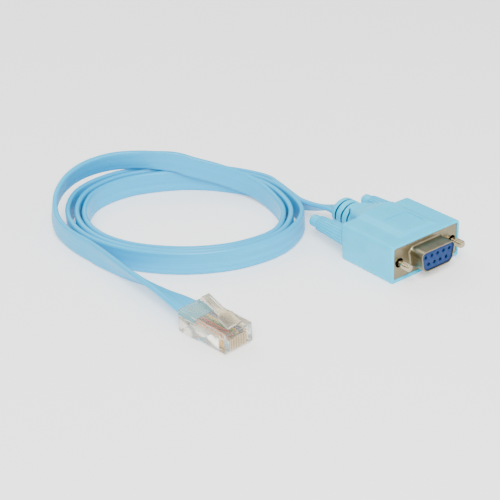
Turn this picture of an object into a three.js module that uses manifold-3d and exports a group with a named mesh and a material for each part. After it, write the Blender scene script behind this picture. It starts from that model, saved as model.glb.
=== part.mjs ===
// Console cable: a nine-way D-sub socket connector in a moulded hood, a flat eight-core lead that lies
// on its edge in three and a half turns, and a clear modular plug on its other end.
// Millimetres, +Z up. The origin is the middle of the hood's flat underside, and the D-sub faces -Y.

import * as THREE from 'three';
import { mergeVertices } from 'three/addons/utils/BufferGeometryUtils.js';
import Module from 'manifold-3d';

const wasm = await Module();
wasm.setup();

// Fits: a seat is the space between two pieces that touch on the real cable.
const SEAT = 0.3;
const OVERCUT = 1;
const ROUND_SIDES = 24;

// Hood
const HOOD_RIM = 1.1;
const HOOD_LENGTH = 25.4;
const HOOD_HEIGHT = 13.9;
const HOOD_CORNER = 1;
const HOOD_END_ROUND = 0.4;
const AXIS_HEIGHT = 7.2;
const PLATEAU_WIDTH = 17.6;
const PLATEAU_RISE = 1.1;
const PLATEAU_SLOPE = 2.4;
const PLATEAU_SETBACK = 2;
const PANEL_WIDTH = 11;
const PANEL_LENGTH = 9.2;
const PANEL_DEPTH = 0.3;
const PANEL_SETBACK = 6.6;

// Neck and ribbed strain relief, moulded with the hood
const NECK_LENGTH = 7.2;
const NECK_FLOOR = 1.6;
const BOOT_WIDTH = 11;
const BOOT_HEIGHT = 9.8;
const BOOT_AXIS_HEIGHT = 7.6;
const BOOT_LENGTH = 17.8;
const BOOT_ROUND = 1;
const SLOT_COUNT = 3;
const SLOT_PITCH = 3.1;
const SLOT_WIDTH = 0.9;
const SLOT_DEPTH = 0.55;
const SLOT_TOP_DEPTH = 1.3;
const SLOT_FIRST = 2.6;
const WEB_HEIGHT = 1.2;
const WEB_DROP = 2;

// D-sub connector
const FLANGE_EAR = 2.4;
const FLANGE_HEIGHT = 11.5;
const FLANGE_SHEET = 0.8;
const FLANGE_INSET = 0.3;
const SCREW_SPACING = 24.99;
const SCREW_HOLE_RADIUS = 1.75;
const D_WIDTH = 16.3;
const D_HEIGHT = 7.9;
const D_SIDE_ANGLE = THREE.MathUtils.degToRad(10);
const D_CORNER = 2.2;
const D_SHEET = 0.4;
const D_PROUD = 5.6;
const ROOT_FLARE = 0.8;
const ROOT_PROUD = 0.7;
const INSULATOR_PROUD = 5.3;
const INSULATOR_BLOCK_EAR = 0.75;
const INSULATOR_BLOCK_HEIGHT = 9.6;
const INSULATOR_BLOCK_LENGTH = 6.5;
const REAR_SHELL_SHEET = 0.8;
const CONTACT_PITCH = 2.77;
const ROW_SPACING = 2.84;
const TOP_ROW = 5;
const BOTTOM_ROW = 4;
const ENTRY_RADIUS = 0.62;
const ENTRY_DEPTH = 0.8;
const CONTACT_RADIUS = 0.85;
const CONTACT_BORE = 0.5;
const CONTACT_TAIL = 1.2;

// Thumbscrews
const SCREW_RADIUS = 1.1;
const THREAD_RADIUS = 1.42;
const THREAD_LENGTH = 3.6;
const SCREW_PROUD = 5;
const SCREW_GRIP = 13;
const KNOB_RADIUS = 3.6;
const KNOB_TAPER = 0.82;
const KNOB_LENGTH = 19.2;
const KNOB_CAP_LENGTH = 4.2;
const KNOB_CAP_RADIUS = 2.75;
const KNOB_DOME = 1.5;
const KNOB_RIBS = 20;
const KNOB_RIB_DEPTH = 0.25;

// Flat lead
const LEAD_WIDTH = 8.7;
const LEAD_THICKNESS = 1.9;
const LEAD_FLOOR_GAP = 0.05;
const LEAD_SIDES = 12;

// Modular plug, drawn in its own frame: its mating end at y = 0, its lead leaving along +y
const PLUG_PLACE = [-78.6, -10.2];
const PLUG_YAW = THREE.MathUtils.degToRad(5);
const PLUG_WIDTH = 11.68;
const PLUG_LENGTH = 22.2;
const PLUG_NOSE_FLOOR = 0.85;
const PLUG_NOSE_HEIGHT = 6.6;
const PLUG_TAIL_HEIGHT = 8;
const PLUG_STEP_START = 12.2;
const PLUG_STEP_END = 13.6;
const PLUG_LEAD_AXIS = 5.5;
const PLUG_JACKET_STOP = 14.9;
const CORE_COUNT = 8;
const CORE_PITCH = 1.02;
const CORE_RADIUS = 0.42;
const CORE_STOP = 2.6;
const BLADE_THICKNESS = 0.34;
const BLADE_LENGTH = 3.4;
const BLADE_HEIGHT = 3.6;
const BLADE_SETBACK = 0.6;
const BLADE_FLOOR = 1.1;
const BLADE_SLOT = 0.7;
const LATCH_WIDTH = 6;
const LATCH_TAB_WIDTH = 3.3;
const LATCH_THICKNESS = 0.9;
const LATCH_ROOT = 1.6;
const LATCH_SHOULDER = 4.8;
const LATCH_SLOPE = 1.2;
const LATCH_LENGTH = 14.5;
const LATCH_LIFT = THREE.MathUtils.degToRad(21);

// Finishes
const SKY_BLUE_PVC = 0x7cc4dd;
const NICKEL = 0xb9aa8c;
const SCREW_STEEL = 0xcfc6b4;
const INSULATOR_BLUE = 0x3566b0;
const GOLD = 0xc9a24a;
const CLEAR = 0xdfe3de;
const CORE_COLOURS = {
  orange: 0xd9824a,
  brown: 0x6a4630,
  red: 0xb5483f,
  green: 0x3f7d4a,
  yellow: 0xd5c34a,
  blue: 0x4a6fb5,
  grey: 0x8b8f94,
  white: 0xd8d8d2,
};

const cable = new THREE.Group();

function finish(color, roughness, metalness = 0) {
  return new THREE.MeshStandardMaterial({ color, roughness, metalness });
}

function addPiece(group, name, geometry, material) {
  const piece = new THREE.Mesh(geometry, material);
  piece.name = name;
  group.add(piece);
  return piece;
}

// Solids and geometries
function toSolid(geometry) {
  const bare = geometry.clone();
  bare.deleteAttribute('normal');
  bare.deleteAttribute('uv');
  const welded = mergeVertices(bare, 1e-4);
  const triVerts = new Uint32Array(welded.index.array);
  const vertProperties = new Float32Array(welded.attributes.position.array);
  return new wasm.Manifold(new wasm.Mesh({ numProp: 3, vertProperties, triVerts }));
}

function toGeometry(solid) {
  const { vertProperties, triVerts } = solid.getMesh();
  const geometry = new THREE.BufferGeometry();
  geometry.setAttribute('position', new THREE.BufferAttribute(vertProperties, 3));
  geometry.setIndex(new THREE.BufferAttribute(triVerts, 1));
  return geometry;
}

function join(solids) {
  return solids.reduce((sum, solid) => sum.add(solid));
}

function cut(solid, tools) {
  return tools.reduce((rest, tool) => rest.subtract(tool), solid);
}

// A shape drawn in X and Z, pushed along Y from front to back
function pushY(shape, front, back, options = {}) {
  const { round = 0, curveSegments = 5 } = options;
  const geometry = new THREE.ExtrudeGeometry(shape, {
    depth: back - front - 2 * round,
    bevelEnabled: round > 0,
    bevelThickness: round,
    bevelSize: round,
    bevelOffset: -round,
    bevelSegments: 2,
    curveSegments,
  });
  geometry.rotateX(Math.PI / 2);
  geometry.translate(0, back - round, 0);
  return geometry;
}

// A shape drawn in Y and Z, pushed along X, the same distance each way from the middle
function pushX(shape, width) {
  const geometry = new THREE.ExtrudeGeometry(shape, { depth: width, bevelEnabled: false, curveSegments: 5 });
  geometry.rotateX(Math.PI / 2);
  geometry.rotateZ(Math.PI / 2);
  geometry.translate(-width / 2, 0, 0);
  return geometry;
}

// Narrows a piece about its own line along Y: full size at the front, that share of it at the back
function taperY(geometry, front, back, share) {
  const points = geometry.attributes.position;
  for (let i = 0; i < points.count; i += 1) {
    const scale = 1 - (1 - share) * (points.getY(i) - front) / (back - front);
    points.setXYZ(i, points.getX(i) * scale, points.getY(i), points.getZ(i) * scale);
  }
  return geometry;
}

function polygon(points) {
  return new THREE.Shape(points.map(([x, y]) => new THREE.Vector2(x, y)));
}

// A polygon with every corner rounded off
function softPolygon(points, radius) {
  const shape = new THREE.Shape();
  points.forEach(([x, y], i) => {
    const corner = new THREE.Vector2(x, y);
    const before = new THREE.Vector2(...points.at(i - 1));
    const after = new THREE.Vector2(...points[(i + 1) % points.length]);
    const start = corner.clone().add(before.sub(corner).setLength(radius));
    const end = corner.clone().add(after.sub(corner).setLength(radius));
    if (i === 0) shape.moveTo(start.x, start.y);
    else shape.lineTo(start.x, start.y);
    shape.quadraticCurveTo(x, y, end.x, end.y);
  });
  shape.closePath();
  return shape;
}

function softBox(width, height, radius, middle = 0) {
  const x = width / 2;
  const low = middle - height / 2;
  const high = middle + height / 2;
  return softPolygon([[-x, low], [x, low], [x, high], [-x, high]], radius);
}

function ellipse(width, height, middle) {
  return new THREE.Shape().absellipse(0, middle, width / 2, height / 2, 0, 2 * Math.PI);
}

function box(width, length, height, x, y, z) {
  return new THREE.BoxGeometry(width, length, height).translate(x, y, z);
}

// A turned piece: [radius, y] points revolved about a line along Y
function turnY(profile, sides = ROUND_SIDES) {
  const points = profile.map(([radius, y]) => new THREE.Vector2(radius, y));
  return new THREE.LatheGeometry(points, sides);
}

function rod(radius, front, back, sides = ROUND_SIDES) {
  return turnY([[0, front], [radius, front], [radius, back], [0, back]], sides);
}

const hoodFront = -HOOD_LENGTH / 2;
const hoodRear = HOOD_LENGTH / 2;
const bootEnd = hoodRear + BOOT_LENGTH;
const screwX = SCREW_SPACING / 2;
const flangeWidth = SCREW_SPACING + 2 * FLANGE_EAR;
const hoodWidth = flangeWidth + 2 * HOOD_RIM;
const blockWidth = SCREW_SPACING - 2 * (SCREW_HOLE_RADIUS + SEAT + INSULATOR_BLOCK_EAR);
const flangeFace = hoodFront + FLANGE_INSET;
const flangeBack = flangeFace + FLANGE_SHEET;
const rearShellFace = flangeBack + SEAT;
const rearShellBack = rearShellFace + REAR_SHELL_SHEET;

// The D opening and skirt: its long side, with five contacts, is on top
function dShape(width, height, corner) {
  const x = width / 2;
  const inward = height * Math.tan(D_SIDE_ANGLE);
  const low = AXIS_HEIGHT - height / 2;
  const high = AXIS_HEIGHT + height / 2;
  return softPolygon([[-x + inward, low], [x - inward, low], [x, high], [-x, high]], corner);
}

// Hood: a block with a raised middle that runs back into the neck and the ribbed boot
function plateau() {
  const base = HOOD_HEIGHT - OVERCUT;
  const top = HOOD_HEIGHT + PLATEAU_RISE;
  const foot = PLATEAU_WIDTH / 2;
  const crown = foot - PLATEAU_SLOPE;
  const front = hoodFront + PLATEAU_SETBACK;
  const across = polygon([[-foot, base], [foot, base], [foot, HOOD_HEIGHT], [crown, top],
    [-crown, top], [-foot, HOOD_HEIGHT]]);
  const along = polygon([[front, base], [hoodRear, base], [hoodRear, top], [front + PLATEAU_SLOPE, top],
    [front, HOOD_HEIGHT]]);
  return toSolid(pushY(across, front, hoodRear)).intersect(toSolid(pushX(along, PLATEAU_WIDTH)));
}

function neck() {
  const start = hoodRear - OVERCUT;
  const end = hoodRear + NECK_LENGTH;
  const top = HOOD_HEIGHT + PLATEAU_RISE;
  const foot = PLATEAU_WIDTH / 2;
  const crown = foot - PLATEAU_SLOPE;
  const across = softPolygon([[-foot, NECK_FLOOR], [foot, NECK_FLOOR], [foot, HOOD_HEIGHT - 1],
    [crown, top], [-crown, top], [-foot, HOOD_HEIGHT - 1]], 0.8);
  const plan = polygon([[-foot, start], [foot, start], [foot, hoodRear], [BOOT_WIDTH / 2, end],
    [-BOOT_WIDTH / 2, end], [-foot, hoodRear]]);
  const along = polygon([[start, NECK_FLOOR], [hoodRear, NECK_FLOOR], [end, BOOT_AXIS_HEIGHT - BOOT_HEIGHT / 2],
    [end, BOOT_AXIS_HEIGHT + BOOT_HEIGHT / 2], [hoodRear, top], [start, top]]);
  const planSolid = toSolid(new THREE.ExtrudeGeometry(plan, { depth: top + OVERCUT, bevelEnabled: false }));
  return toSolid(pushY(across, start, end)).intersect(planSolid)
    .intersect(toSolid(pushX(along, PLATEAU_WIDTH + OVERCUT)));
}

// One groove round the boot, with a web left on each side
function bootGroove(middle) {
  const ring = ellipse(BOOT_WIDTH + OVERCUT, BOOT_HEIGHT + OVERCUT, BOOT_AXIS_HEIGHT);
  ring.holes.push(ellipse(BOOT_WIDTH - 2 * SLOT_DEPTH, BOOT_HEIGHT - 2 * SLOT_TOP_DEPTH, BOOT_AXIS_HEIGHT));
  const web = box(BOOT_WIDTH + 2 * OVERCUT, SLOT_WIDTH + OVERCUT, WEB_HEIGHT, 0, middle,
    BOOT_AXIS_HEIGHT - WEB_DROP);
  const groove = pushY(ring, middle - SLOT_WIDTH / 2, middle + SLOT_WIDTH / 2, { curveSegments: 20 });
  return toSolid(groove).subtract(toSolid(web));
}

function hoodSolid() {
  const block = pushY(softBox(hoodWidth, HOOD_HEIGHT, HOOD_CORNER, HOOD_HEIGHT / 2), hoodFront, hoodRear,
    { round: HOOD_END_ROUND });
  const boot = pushY(ellipse(BOOT_WIDTH, BOOT_HEIGHT, BOOT_AXIS_HEIGHT), hoodRear, bootEnd,
    { round: BOOT_ROUND, curveSegments: 20 });
  const whole = join([toSolid(block), plateau(), neck(), toSolid(boot)]);

  const panelMiddle = hoodFront + PANEL_SETBACK + PANEL_LENGTH / 2;
  const panel = box(PANEL_WIDTH, PANEL_LENGTH, 2 * PANEL_DEPTH, 0, panelMiddle, HOOD_HEIGHT + PLATEAU_RISE);
  const flangePocket = pushY(softBox(flangeWidth + 2 * SEAT, FLANGE_HEIGHT + 2 * SEAT, 0.8, AXIS_HEIGHT),
    hoodFront - OVERCUT, rearShellBack + SEAT);
  const blockPocket = pushY(
    softBox(blockWidth + 2 * SEAT, INSULATOR_BLOCK_HEIGHT + 2 * SEAT, 0.5, AXIS_HEIGHT),
    hoodFront, flangeBack + SEAT + INSULATOR_BLOCK_LENGTH + CONTACT_TAIL + SEAT);
  const leadSlot = pushY(softBox(LEAD_WIDTH + 2 * SEAT, LEAD_THICKNESS + 2 * SEAT, 0.6, BOOT_AXIS_HEIGHT),
    hoodRear + NECK_LENGTH - SEAT, bootEnd + OVERCUT);
  const bores = [-screwX, screwX].map((x) => toSolid(
    rod(SCREW_HOLE_RADIUS, hoodFront, hoodRear + OVERCUT).translate(x, 0, AXIS_HEIGHT)));
  const grooves = Array.from({ length: SLOT_COUNT }, (_, i) => bootGroove(bootEnd - SLOT_FIRST - i * SLOT_PITCH));
  const tools = [panel, flangePocket, blockPocket, leadSlot].map(toSolid);
  return cut(whole, [...tools, ...bores, ...grooves]);
}

// Front shell: a flange plate and the drawn D skirt in one metal sheet
function frontShell() {
  const plate = pushY(softBox(flangeWidth, FLANGE_HEIGHT, 0.6, AXIS_HEIGHT), flangeFace, flangeBack);
  const root = pushY(dShape(D_WIDTH + 2 * ROOT_FLARE, D_HEIGHT + 2 * ROOT_FLARE, D_CORNER + ROOT_FLARE),
    flangeFace - ROOT_PROUD, flangeBack);
  const skirt = pushY(dShape(D_WIDTH, D_HEIGHT, D_CORNER), hoodFront - D_PROUD, flangeBack);
  const opening = pushY(dShape(D_WIDTH - 2 * D_SHEET, D_HEIGHT - 2 * D_SHEET, D_CORNER - D_SHEET),
    hoodFront - D_PROUD - OVERCUT, flangeBack + OVERCUT);
  const holes = [-screwX, screwX].map((x) => toSolid(
    rod(SCREW_HOLE_RADIUS, flangeFace - OVERCUT, flangeBack + OVERCUT).translate(x, 0, AXIS_HEIGHT)));
  return cut(join([plate, root, skirt].map(toSolid)), [toSolid(opening), ...holes]);
}

function rearShell() {
  const plate = pushY(softBox(flangeWidth, FLANGE_HEIGHT, 0.6, AXIS_HEIGHT), rearShellFace, rearShellBack);
  const window = pushY(
    softBox(blockWidth + 2 * SEAT, INSULATOR_BLOCK_HEIGHT + 2 * SEAT, 0.5, AXIS_HEIGHT),
    rearShellFace - OVERCUT, rearShellBack + OVERCUT);
  const holes = [-screwX, screwX].map((x) => toSolid(
    rod(SCREW_HOLE_RADIUS, rearShellFace - OVERCUT, rearShellBack + OVERCUT).translate(x, 0, AXIS_HEIGHT)));
  return cut(toSolid(plate), [toSolid(window), ...holes]);
}

// Contact places, counted from the left of the top row
function contactPlaces() {
  const row = (count, z) => Array.from({ length: count },
    (_, i) => [(i - (count - 1) / 2) * CONTACT_PITCH, z]);
  return [...row(TOP_ROW, AXIS_HEIGHT + ROW_SPACING / 2), ...row(BOTTOM_ROW, AXIS_HEIGHT - ROW_SPACING / 2)];
}

const insulatorFace = hoodFront - INSULATOR_PROUD;
const insulatorBack = flangeBack + SEAT + INSULATOR_BLOCK_LENGTH;
const contactFace = insulatorFace + ENTRY_DEPTH + SEAT;

function insulator() {
  const inset = 2 * (D_SHEET + SEAT);
  const front = pushY(dShape(D_WIDTH - inset, D_HEIGHT - inset, D_CORNER - inset / 2), insulatorFace,
    insulatorBack);
  const block = pushY(softBox(blockWidth, INSULATOR_BLOCK_HEIGHT, 0.5, AXIS_HEIGHT),
    flangeBack + SEAT, insulatorBack);
  const holes = contactPlaces().flatMap(([x, z]) => [
    rod(ENTRY_RADIUS, insulatorFace - OVERCUT, contactFace, 12),
    rod(CONTACT_RADIUS + SEAT, insulatorFace + ENTRY_DEPTH, insulatorBack + OVERCUT, 12),
  ].map((hole) => toSolid(hole.translate(x, 0, z))));
  return cut(toSolid(front).add(toSolid(block)), holes);
}

function socketContact() {
  const tail = insulatorBack + CONTACT_TAIL;
  return turnY([[0, insulatorBack], [CONTACT_BORE, insulatorBack], [CONTACT_BORE, contactFace],
    [CONTACT_RADIUS, contactFace], [CONTACT_RADIUS, tail], [0, tail]], 12);
}

// Thumbscrew: a turned screw whose plain head end is held in a ribbed knob
function thumbscrew() {
  const tip = hoodFront - SCREW_PROUD;
  const chamfer = 0.5;
  return turnY([[0, tip], [THREAD_RADIUS - chamfer, tip], [THREAD_RADIUS, tip + chamfer],
    [THREAD_RADIUS, tip + THREAD_LENGTH - chamfer], [SCREW_RADIUS, tip + THREAD_LENGTH],
    [SCREW_RADIUS, hoodRear + SCREW_GRIP], [0, hoodRear + SCREW_GRIP]]);
}

function knob() {
  const front = hoodRear + SEAT;
  const back = front + KNOB_LENGTH;
  const capStart = back - KNOB_CAP_LENGTH;
  const ribbed = new THREE.Shape(Array.from({ length: 4 * KNOB_RIBS }, (_, i) => {
    const angle = (i + 0.5) * Math.PI / (2 * KNOB_RIBS);
    const radius = KNOB_RADIUS - (i % 4 < 2 ? 0 : KNOB_RIB_DEPTH);
    return new THREE.Vector2(radius * Math.cos(angle), radius * Math.sin(angle));
  }));
  const grip = toSolid(taperY(pushY(ribbed, front, capStart), front, capStart, KNOB_TAPER));
  const cap = toSolid(turnY([[0, capStart - OVERCUT], [KNOB_CAP_RADIUS, capStart - OVERCUT],
    [KNOB_CAP_RADIUS, back - KNOB_DOME], [KNOB_CAP_RADIUS - KNOB_DOME * 0.3, back - KNOB_DOME * 0.3],
    [KNOB_CAP_RADIUS - KNOB_DOME, back], [0, back]]));
  const bore = toSolid(rod(SCREW_RADIUS + SEAT, front - OVERCUT, hoodRear + SCREW_GRIP + SEAT, 12));
  return grip.add(cap).subtract(bore);
}

// Plug body, with the lead's mouth at its tail, the cores' channel and the blades' slots
const plugNoseTop = PLUG_NOSE_FLOOR + PLUG_NOSE_HEIGHT;
const corePlace = (i) => (i - (CORE_COUNT - 1) / 2) * CORE_PITCH;
const bladeTop = BLADE_FLOOR + BLADE_HEIGHT;

function plugBody() {
  const side = polygon([[0, PLUG_NOSE_FLOOR], [PLUG_STEP_START, PLUG_NOSE_FLOOR], [PLUG_STEP_END, 0],
    [PLUG_LENGTH, 0], [PLUG_LENGTH, PLUG_TAIL_HEIGHT], [PLUG_STEP_START, plugNoseTop], [0, plugNoseTop]]);
  const mouth = box(LEAD_WIDTH + 2 * SEAT, PLUG_LENGTH - PLUG_JACKET_STOP + SEAT + OVERCUT,
    LEAD_THICKNESS + 2 * SEAT, 0, (PLUG_LENGTH + PLUG_JACKET_STOP - SEAT + OVERCUT) / 2, PLUG_LEAD_AXIS);
  const channelWidth = (CORE_COUNT - 1) * CORE_PITCH + 2 * (CORE_RADIUS + SEAT);
  const channel = box(channelWidth, PLUG_JACKET_STOP - CORE_STOP + SEAT, 2 * (CORE_RADIUS + SEAT), 0,
    (PLUG_JACKET_STOP + CORE_STOP - SEAT) / 2, PLUG_LEAD_AXIS);
  const slots = Array.from({ length: CORE_COUNT }, (_, i) => toSolid(box(
    BLADE_SLOT, BLADE_SETBACK + BLADE_LENGTH + SEAT + OVERCUT, bladeTop + SEAT + OVERCUT - PLUG_NOSE_FLOOR,
    corePlace(i), (BLADE_SETBACK + BLADE_LENGTH + SEAT - OVERCUT) / 2,
    (bladeTop + SEAT + PLUG_NOSE_FLOOR - OVERCUT) / 2)));
  return cut(toSolid(pushX(side, PLUG_WIDTH)), [toSolid(mouth), toSolid(channel), ...slots]);
}

// Latch: a tab that rises from the nose towards the tail, narrow at its free end
function latch() {
  const plan = polygon([[-LATCH_WIDTH / 2, 0], [LATCH_WIDTH / 2, 0], [LATCH_WIDTH / 2, LATCH_SHOULDER],
    [LATCH_TAB_WIDTH / 2, LATCH_SHOULDER + LATCH_SLOPE], [LATCH_TAB_WIDTH / 2, LATCH_LENGTH],
    [-LATCH_TAB_WIDTH / 2, LATCH_LENGTH], [-LATCH_TAB_WIDTH / 2, LATCH_SHOULDER + LATCH_SLOPE],
    [-LATCH_WIDTH / 2, LATCH_SHOULDER]]);
  const geometry = new THREE.ExtrudeGeometry(plan, { depth: LATCH_THICKNESS, bevelEnabled: false });
  geometry.rotateX(LATCH_LIFT);
  geometry.translate(0, LATCH_ROOT, plugNoseTop + SEAT);
  return geometry;
}

function blade() {
  return new THREE.ExtrudeGeometry(polygon([[0, 0], [BLADE_LENGTH, 0], [BLADE_LENGTH, BLADE_HEIGHT],
    [0, BLADE_HEIGHT]]), { depth: BLADE_THICKNESS, bevelEnabled: false })
    .rotateX(Math.PI / 2).rotateZ(Math.PI / 2)
    .translate(-BLADE_THICKNESS / 2, BLADE_SETBACK, BLADE_FLOOR);
}

// Route of the lead, from inside the boot to inside the plug. Each point is [x, y, height of the lead's
// middle, lean]: lean 0 stands the lead on its edge, 90 lays it flat, and it leans to the left of travel.
const ON_EDGE = LEAD_WIDTH / 2 + LEAD_FLOOR_GAP;
const LOOP_CENTRE = [-45, 71.3];
const leadStart = hoodRear + NECK_LENGTH;

const LEAD_IN = [
  [0, leadStart, BOOT_AXIS_HEIGHT, 90],
  [0, bootEnd, BOOT_AXIS_HEIGHT, 90],
  [-0.5, 35.2, 7, 74],
  [-1.9, 40.6, 5.8, 58],
  [-3.2, 47, 4.9, 43],
  [-3.5, 54.2, 4.5, 20],
  [-2.9, 62.8, ON_EDGE, 3],
];

// The turns that stand on the floor: at each angle, in degrees round the loop's centre, the radius of
// each strand from the innermost to the outermost
const STRANDS = [
  [0, [35.4, 38.0, 40.5, 42.9]],
  [22.5, [32.8, 35.0, 37.6, 40.2]],
  [45, [31.8, 34.0, 36.6, 39.3]],
  [67.5, [34.5, 37.9, 41.2]],
  [90, [36.4, 40.4, 43.9]],
  [112.5, [37.2, 40.5, 44.6]],
  [135, [34.9, 37.9, 41.5]],
  [157.5, [32.9, 35.3, 38.1]],
  [180, [31.2, 33.3, 35.5]],
  [202.5, [30.1, 32.2, 34.3]],
  [225, [30.3, 32.4, 34.6]],
  [247.5, [32.7, 34.8, 36.9]],
  [270, [36.8, 38.8, 40.9]],
  [292.5, [40.9, 43.0, 45.1]],
  [315, [39.6, 42.4, 46.4]],
  [337.5, [37.1, 39.9, 43.0]],
];
const FLOOR_TURNS = 3;

// The last half turn climbs over the others and comes down outside them: angle, radius, height, lean
const CROSSING = [
  [0, 35.4, ON_EDGE + 1.5, 0],
  [22.5, 32.8, ON_EDGE + 3.9, 0],
  [45, 31.8, ON_EDGE + 6.7, 0],
  [56, 32.2, ON_EDGE + 8.7, 4],
  [67.5, 34.6, ON_EDGE + 9.1, 12],
  [78.75, 39.1, ON_EDGE + 9.1, 16],
  [90, 43.6, ON_EDGE + 9, 18],
  [101.25, 45.7, ON_EDGE + 9, 20],
  [112.5, 46.4, ON_EDGE + 8.8, 20],
  [123.75, 46.8, ON_EDGE + 7.4, 18],
  [135, 46.4, ON_EDGE + 4.6, 12],
  [146.25, 44.4, ON_EDGE + 1.4, 5],
  [157.5, 41.3, ON_EDGE, 0],
  [168.75, 39.2, ON_EDGE, 0],
  [180, 37.9, ON_EDGE, 0],
];

const LEAD_OUT = [
  [-82.8, 65.5, ON_EDGE, -2],
  [-82.5, 59, 4.5, -11],
  [-82.2, 52, 4.5, -21],
  [-81.7, 46, 4.5, -32],
  [-81.2, 40, 4.7, -43],
  [-80.9, 34, 4.9, -51],
  [-80.7, 28, 5.1, -59],
  [-80.6, 21.5, 5.4, -72],
];

function aroundLoop([angle, radius, height, lean]) {
  const turn = THREE.MathUtils.degToRad(angle);
  return [LOOP_CENTRE[0] + radius * Math.cos(turn), LOOP_CENTRE[1] + radius * Math.sin(turn), height, lean];
}

function besidePlug(y) {
  return [PLUG_PLACE[0] - y * Math.sin(PLUG_YAW), PLUG_PLACE[1] + y * Math.cos(PLUG_YAW), PLUG_LEAD_AXIS, -90];
}

function leadRoute() {
  const turns = Array.from({ length: FLOOR_TURNS }, (_, turn) => STRANDS.map(
    ([angle, radii]) => aroundLoop([angle, radii.at(-1 - turn), ON_EDGE, 0])));
  return [
    ...LEAD_IN,
    ...turns.flat(),
    ...CROSSING.map(aroundLoop),
    ...LEAD_OUT,
    besidePlug(PLUG_LENGTH),
    besidePlug(PLUG_JACKET_STOP),
  ];
}

// A smooth curve through the route's points that also says how the flat section stands at each of them
class LeadPath extends THREE.CatmullRomCurve3 {
  constructor(route) {
    super(route.map(([x, y, z]) => new THREE.Vector3(x, y, z)), false, 'centripetal');
    this.leans = route.map(([, , , lean]) => THREE.MathUtils.degToRad(lean));
  }

  getSpacedPoints(steps) {
    return this.getPoints(steps);
  }

  computeFrenetFrames(steps) {
    const up = new THREE.Vector3(0, 0, 1);
    const frames = { tangents: [], normals: [], binormals: [] };
    for (let i = 0; i <= steps; i += 1) {
      const tangent = this.getTangent(i / steps);
      const left = up.clone().cross(tangent).normalize();
      const upright = tangent.clone().cross(left);
      const lean = this.leans[i];
      const normal = upright.multiplyScalar(Math.cos(lean)).addScaledVector(left, Math.sin(lean));
      frames.tangents.push(tangent);
      frames.normals.push(normal);
      frames.binormals.push(tangent.clone().cross(normal));
    }
    return frames;
  }
}

// The lead's section: a flat band with rounded edges, its width along the first axis
function leadSection() {
  const round = LEAD_THICKNESS / 2;
  const straight = LEAD_WIDTH / 2 - round;
  const half = LEAD_SIDES / 2;
  const points = Array.from({ length: LEAD_SIDES }, (_, i) => {
    const side = i < half ? 1 : -1;
    const angle = ((i % half) / (half - 1) - 0.5) * Math.PI;
    return new THREE.Vector2(side * (straight + round * Math.cos(angle)), side * round * Math.sin(angle));
  });
  return new THREE.Shape(points);
}

function lead() {
  const route = leadRoute();
  return new THREE.ExtrudeGeometry(leadSection(), { steps: route.length - 1, extrudePath: new LeadPath(route) });
}

// Assembly
const pvc = finish(SKY_BLUE_PVC, 0.45);
addPiece(cable, 'hood', toGeometry(hoodSolid()), pvc);
addPiece(cable, 'front_shell', toGeometry(frontShell()), finish(NICKEL, 0.3, 1));
addPiece(cable, 'rear_shell', toGeometry(rearShell()), finish(NICKEL, 0.4, 1));
addPiece(cable, 'insulator', toGeometry(insulator()), finish(INSULATOR_BLUE, 0.5));
contactPlaces().forEach(([x, z], i) => {
  addPiece(cable, `socket_contact_${i + 1}`, socketContact(), finish(GOLD, 0.3, 1)).position.set(x, 0, z);
});
[['left', -screwX], ['right', screwX]].forEach(([side, x]) => {
  addPiece(cable, `screw_${side}`, thumbscrew(), finish(SCREW_STEEL, 0.3, 1)).position.set(x, 0, AXIS_HEIGHT);
  addPiece(cable, `knob_${side}`, toGeometry(knob()), finish(SKY_BLUE_PVC, 0.5)).position.set(x, 0, AXIS_HEIGHT);
});
addPiece(cable, 'flat_lead', lead(), finish(SKY_BLUE_PVC, 0.4));

const plug = new THREE.Group();
plug.position.set(PLUG_PLACE[0], PLUG_PLACE[1], 0);
plug.rotation.z = PLUG_YAW;
cable.add(plug);
addPiece(plug, 'plug_body', toGeometry(plugBody()), finish(CLEAR, 0.1));
addPiece(plug, 'plug_latch', latch(), finish(CLEAR, 0.1));
Object.entries(CORE_COLOURS).forEach(([colour, value], i) => {
  addPiece(plug, `core_${colour}`, rod(CORE_RADIUS, CORE_STOP, PLUG_JACKET_STOP - SEAT, 8), finish(value, 0.4))
    .position.set(corePlace(i), 0, PLUG_LEAD_AXIS);
  addPiece(plug, `blade_${i + 1}`, blade(), finish(GOLD, 0.25, 1)).position.x = corePlace(i);
});

export default cable;
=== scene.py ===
# %% [markdown]
# # A flat console cable with a D-sub connector and a clear modular plug
#
# The real cable is a flat vinyl band with eight wires in it. One end is crimped into a clear plug. The
# other goes into a soft vinyl hood that is moulded round a nine-way D-sub connector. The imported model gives
# every size, so each step here starts from the frame and only makes a finer skin for it.

# %% Load the frame
import math
import random

import bpy
from mathutils import Matrix, Vector


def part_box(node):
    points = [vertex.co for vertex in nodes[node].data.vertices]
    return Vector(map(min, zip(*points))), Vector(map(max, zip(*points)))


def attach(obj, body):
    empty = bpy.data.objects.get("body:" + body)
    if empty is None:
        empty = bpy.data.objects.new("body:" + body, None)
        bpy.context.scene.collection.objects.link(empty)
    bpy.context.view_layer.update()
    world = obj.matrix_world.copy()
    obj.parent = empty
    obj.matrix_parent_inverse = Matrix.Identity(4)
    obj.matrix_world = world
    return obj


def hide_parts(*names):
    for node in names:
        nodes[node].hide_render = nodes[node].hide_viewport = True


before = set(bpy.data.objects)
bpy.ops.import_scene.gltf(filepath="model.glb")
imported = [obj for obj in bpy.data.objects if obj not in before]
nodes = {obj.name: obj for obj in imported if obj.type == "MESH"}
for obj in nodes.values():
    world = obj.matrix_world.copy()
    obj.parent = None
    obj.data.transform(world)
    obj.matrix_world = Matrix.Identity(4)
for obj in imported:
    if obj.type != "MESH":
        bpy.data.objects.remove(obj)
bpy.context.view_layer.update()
bpy.ops.object.select_all(action="DESELECT")
MM = 0.001
print("nodes loaded:", len(nodes))

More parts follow.
